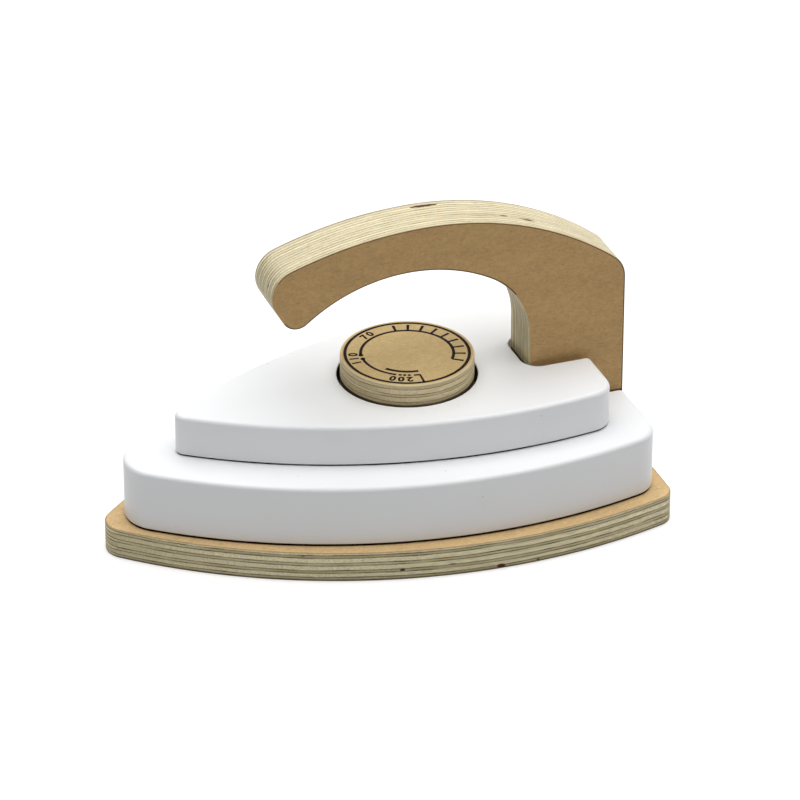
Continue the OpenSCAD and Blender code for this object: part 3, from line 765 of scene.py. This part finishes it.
# Dial
# A disc of the same plywood as the sole, turned to size with its edges just broken. It stands 7.6 mm
# above the board, and its nine plies show all round.
DIAL_EASE = 0.45
DIAL_BORE_DEPTH = 7.6
DIAL_STEPS = 180
dial_thick = dial_high.z - dial_low.z
bm = bmesh.new()
arris = bm.verts.layers.float.new("arris")
ease = quarter(DIAL_EASE, 3)
bore = [(SCREW_BORE_R, dial_low.z + DIAL_BORE_DEPTH), (SCREW_BORE_R, dial_low.z)]
rim = [(DIAL_EASE + FLAT_STRIP, 0.0), *reversed(ease)]
rim += [(0.0, z) for z in steps(DIAL_EASE, dial_thick - DIAL_EASE, 12)[1:-1]]
rim += [(inset, dial_thick - drop) for inset, drop in ease] + [(DIAL_EASE + FLAT_STRIP, dial_thick)]
rim = [(dial_r - inset, dial_low.z + z) for inset, z in rim]
bore, rim = ([ring_of(bm, circle(dial_centre, r, DIAL_STEPS), z) for r, z in wall] for wall in (bore, rim))
wrap(bm, bore)
wrap(bm, rim)
cover(bm, bore[0])
cover(bm, rim[0], bore[-1])
cover(bm, rim[-1])
# The upper arris is coloured pale: the sanded top ply, with a painted highlight
for ring in rim[-5:-1]:
    for v in ring:
        v[arris] = 0.6
# The dial's band is painted shade where its side goes down into the recess
dial_finish = birch_plywood("oiled_birch_dial", dial_low.z, NINE_PLIES, dial_thick, turned=False,
                            veneer="#CDB27E", along_ply="#E9D9B0", across_ply="#CDBA90",
                            glue="#6F5D3E", glue_width=0.36, painted_arris_tone="#F0E0B8", roughness=0.5,
                            shade_bands=((0.0484, 0.2),))
make_piece(bm, "dial_board", [dial_finish], "dial_turning", "dial")

# Dial scale
# A ring, a scale of nine ticks, short arcs, dots and plain numbers, screen printed on the dial's face
# in lines about 1 mm wide.

# Printing ink: nearly black brown, matt, a little uneven where the wood took it.
printing_ink, tree = new_material("brown_black_printing_ink")
at = add(tree, "Mapping", {"Vector": add(tree, "TexCoord").outputs["Object"], "Scale": TO_MILLIMETRES})
uptake = add(tree, "TexNoise", {"Vector": at, "Scale": 3.5, "Detail": 3.0})
ink = add(tree, "MapRange", {"Value": uptake.outputs["Fac"], "From Min": 0.35, "From Max": 0.75})
ink = add(tree, "Mix", {"Factor": ink, "A": colour("#0B0403"), "B": colour("#1C0F0A")}, data_type="RGBA")
skin = add(tree, "BsdfPrincipled", {"Base Color": ink, "Roughness": 0.7, "Specular IOR Level": 0.1})
add(tree, "OutputMaterial", {"Surface": skin})

INK_HEIGHT = 0.02
RIM_R, RIM_WIDTH = 21.15, 1.1
SCALE_R, SCALE_WIDTH = 15.8, 1.05
TICK_FOOT_R, TICK_END_R, TICK_WIDTH = 15.9, 19.9, 0.95
FIRST_TICK, TICK_TURN = 84, 15
LOW_SCALE_R = 15.6
DOT_R, SMALL_DOT_R = 0.85, 0.6
DOT_STEPS = 18
INK_SPACING = 0.5
bm = bmesh.new()
face_z = dial_high.z


def ink_arc(radius, width, first, last):
    """A printed arc between two angles in degrees, on the dial's face."""
    span = math.radians(last - first)
    count = max(2, round(abs(span) * radius / INK_SPACING))
    angles = steps(math.radians(first), math.radians(last), count)
    lines = [[bm.verts.new((*polar(dial_centre, r, a), face_z)) for a in angles]
             for r in (radius - width / 2, radius + width / 2)]
    for i in range(len(angles) - 1):
        bm.faces.new((lines[0][i], lines[0][i + 1], lines[1][i + 1], lines[1][i]))


def ink_tick(inner_r, outer_r, width, angle):
    half_turn = math.degrees(width / (inner_r + outer_r))
    ink_arc((inner_r + outer_r) / 2, outer_r - inner_r, angle - half_turn, angle + half_turn)


def ink_dot(radius, angle, dot_r):
    middle = polar(dial_centre, radius, math.radians(angle))
    bm.faces.new(ring_of(bm, circle(middle, dot_r, DOT_STEPS), face_z))


# Angles are in degrees, counted from the heel towards the far side
ink_arc(RIM_R, RIM_WIDTH, 0, 360)
ink_arc(SCALE_R, SCALE_WIDTH, -36, 166)
ink_dot(SCALE_R, 166, DOT_R)
for i in range(9):
    ink_tick(TICK_FOOT_R, TICK_END_R, TICK_WIDTH, FIRST_TICK - TICK_TURN * i)
ink_arc(LOW_SCALE_R, 1.0, 175.5, 236)
ink_dot(LOW_SCALE_R, 175.5, DOT_R)
for angle in (241, 246.7, 252.4):
    ink_dot(LOW_SCALE_R, angle, SMALL_DOT_R)
ink_arc(SCALE_R, 0.95, 258, 265.6)
ink_tick(LOW_SCALE_R, 21.2, 0.75, 265.6)
ink_arc(13.2, 1.3, 216.5, 266.5)

# The numbers read from the middle, with their feet towards it
DIGIT_SIZE = 4.2
DIGIT_SPACING = 2.9
DIGIT_SWELL = 0.19
NUMBER_R = 18.3
for text, middle in (("70", 118), ("110", 173), ("200", 243.5)):
    for k, digit in enumerate(text):
        font = bpy.data.curves.new("digit", "FONT")
        font.body, font.size, font.align_x, font.align_y = digit, DIGIT_SIZE, "CENTER", "CENTER"
        font.offset = DIGIT_SWELL
        shape = bpy.data.objects.new("digit", font)
        bpy.context.scene.collection.objects.link(shape)
        settled = shape.evaluated_get(bpy.context.evaluated_depsgraph_get())
        flat_digit = bpy.data.meshes.new_from_object(settled)
        angle = math.radians(middle) - (k - (len(text) - 1) / 2) * DIGIT_SPACING / NUMBER_R
        across, up = (math.sin(angle), -math.cos(angle)), (math.cos(angle), math.sin(angle))
        centre = polar(dial_centre, NUMBER_R, angle)
        for v in flat_digit.vertices:
            v.co = (centre[0] + v.co.x * across[0] + v.co.y * up[0],
                    centre[1] + v.co.x * across[1] + v.co.y * up[1], face_z)
        bm.from_mesh(flat_digit)
        bpy.data.objects.remove(shape)
        bpy.data.meshes.remove(flat_digit)
        bpy.data.curves.remove(font)
everything = bm.faces[:] + bm.edges[:] + bm.verts[:]
lifted = bmesh.ops.extrude_face_region(bm, geom=everything, use_keep_orig=True)["geom"]
lifted = [item for item in lifted if isinstance(item, bmesh.types.BMVert)]
bmesh.ops.translate(bm, vec=(0, 0, INK_HEIGHT), verts=lifted)
make_piece(bm, "dial_scale", [printing_ink], "dial_turning")

# Floor and backdrop
# A pale matt studio floor, 0.1 mm under the sole, which keeps the soft shadow round the iron. The
# camera and reflections see it glow, more with distance, so that it turns white towards the horizon.
GLOW_NEAR, GLOW_FAR = 0.25, 0.6
NEAR_GLOW, FAR_GLOW = 0.47, 1.0
FLOOR_HALF = 6.0
FLOOR_Z = -0.0001


def seen_directly(tree):
    """1 for a ray from the camera, a glossy surface or a clear one, and 0 for other rays."""
    path = add(tree, "LightPath")
    share = path.outputs["Is Camera Ray"]
    for kind in ("Is Glossy Ray", "Is Transmission Ray"):
        share = add(tree, "Math", {0: share, 1: path.outputs[kind]}, operation="MAXIMUM")
    return share


floor_paint, tree = new_material("pale_studio_floor")
matt = add(tree, "BsdfDiffuse", {"Color": colour("#D8D8D8")})
far = add(tree, "VectorMath", {0: add(tree, "TexCoord").outputs["Object"]}, operation="LENGTH")
strength = add(tree, "MapRange", {"Value": far.outputs["Value"], "From Min": GLOW_NEAR, "From Max": GLOW_FAR,
                                  "To Min": NEAR_GLOW, "To Max": FAR_GLOW})
glow = add(tree, "Emission", {"Color": (1.0, 1.0, 1.0, 1.0), "Strength": strength})
lit = add(tree, "AddShader", {0: matt, 1: glow})
floor_skin = add(tree, "MixShader", {0: seen_directly(tree), 1: matt, 2: lit})
add(tree, "OutputMaterial", {"Surface": floor_skin})
bm = bmesh.new()
corners = [(x * FLOOR_HALF, y * FLOOR_HALF) for x, y in ((-1, -1), (1, -1), (1, 1), (-1, 1))]
bm.faces.new(ring_of(bm, corners, FLOOR_Z))
mesh = bpy.data.meshes.new("studio_floor")
bm.to_mesh(mesh)
bm.free()
mesh.materials.append(floor_paint)
floor = bpy.data.objects.new("studio_floor", mesh)
bpy.context.scene.collection.objects.link(floor)

# Studio light
# One broad lamp overhead gives nearly all the light, and the pale floor throws it back onto the sides.
# A weak lamp stands at the right. The surroundings look plain white, but light almost nothing.
UNSEEN_LEVEL, SEEN_LEVEL = 0.02, 1.0
world = bpy.data.worlds.new("studio")
bpy.context.scene.world = world
world.use_nodes = True
tree = world.node_tree
tree.nodes.clear()
level = add(tree, "MapRange", {"Value": seen_directly(tree), "To Min": UNSEEN_LEVEL, "To Max": SEEN_LEVEL})
surroundings = add(tree, "Background", {"Color": (1.0, 1.0, 1.0, 1.0), "Strength": level})
add(tree, "OutputWorld", {"Surface": surroundings})


def soft_lamp(name, place, aim, size, power):
    lamp = bpy.data.lights.new(name, "AREA")
    lamp.shape, lamp.size, lamp.size_y, lamp.energy = "RECTANGLE", *size, power
    holder = bpy.data.objects.new(name, lamp)
    bpy.context.scene.collection.objects.link(holder)
    holder.location = place
    holder.rotation_euler = (Vector(aim) - Vector(place)).to_track_quat("-Z", "Y").to_euler()


soft_lamp("overhead_softbox", place=(0.08, 0.12, 1.6), aim=(0.0, 0.0, 0.05), size=(2.5, 2.35), power=48.5)
soft_lamp("right_softbox", place=(1.3, -0.9, 0.6), aim=(0.0, 0.0, 0.04), size=(0.9, 0.9), power=1.1)

# Camera
# A long lens, 20 degrees round towards the nose and 29 degrees up, as in the photograph.
AZIMUTH, ELEVATION = math.radians(-20.241), math.radians(29.376)
DISTANCE = 1.7833
TARGET = Vector((0.03511, 0.06318, 0.0))
back = Vector((math.sin(AZIMUTH) * math.cos(ELEVATION), -math.cos(AZIMUTH) * math.cos(ELEVATION),
               math.sin(ELEVATION)))
lens = bpy.data.cameras.new("long_lens")
lens.sensor_width, lens.lens = 36.0, 225.0
lens.clip_start, lens.clip_end = 0.1, 50.0
camera = bpy.data.objects.new("camera", lens)
bpy.context.scene.collection.objects.link(camera)
camera.location = TARGET + DISTANCE * back
camera.rotation_euler = (-back).to_track_quat("-Z", "Y").to_euler()
bpy.context.scene.camera = camera
bpy.context.scene.view_settings.view_transform = "Standard"
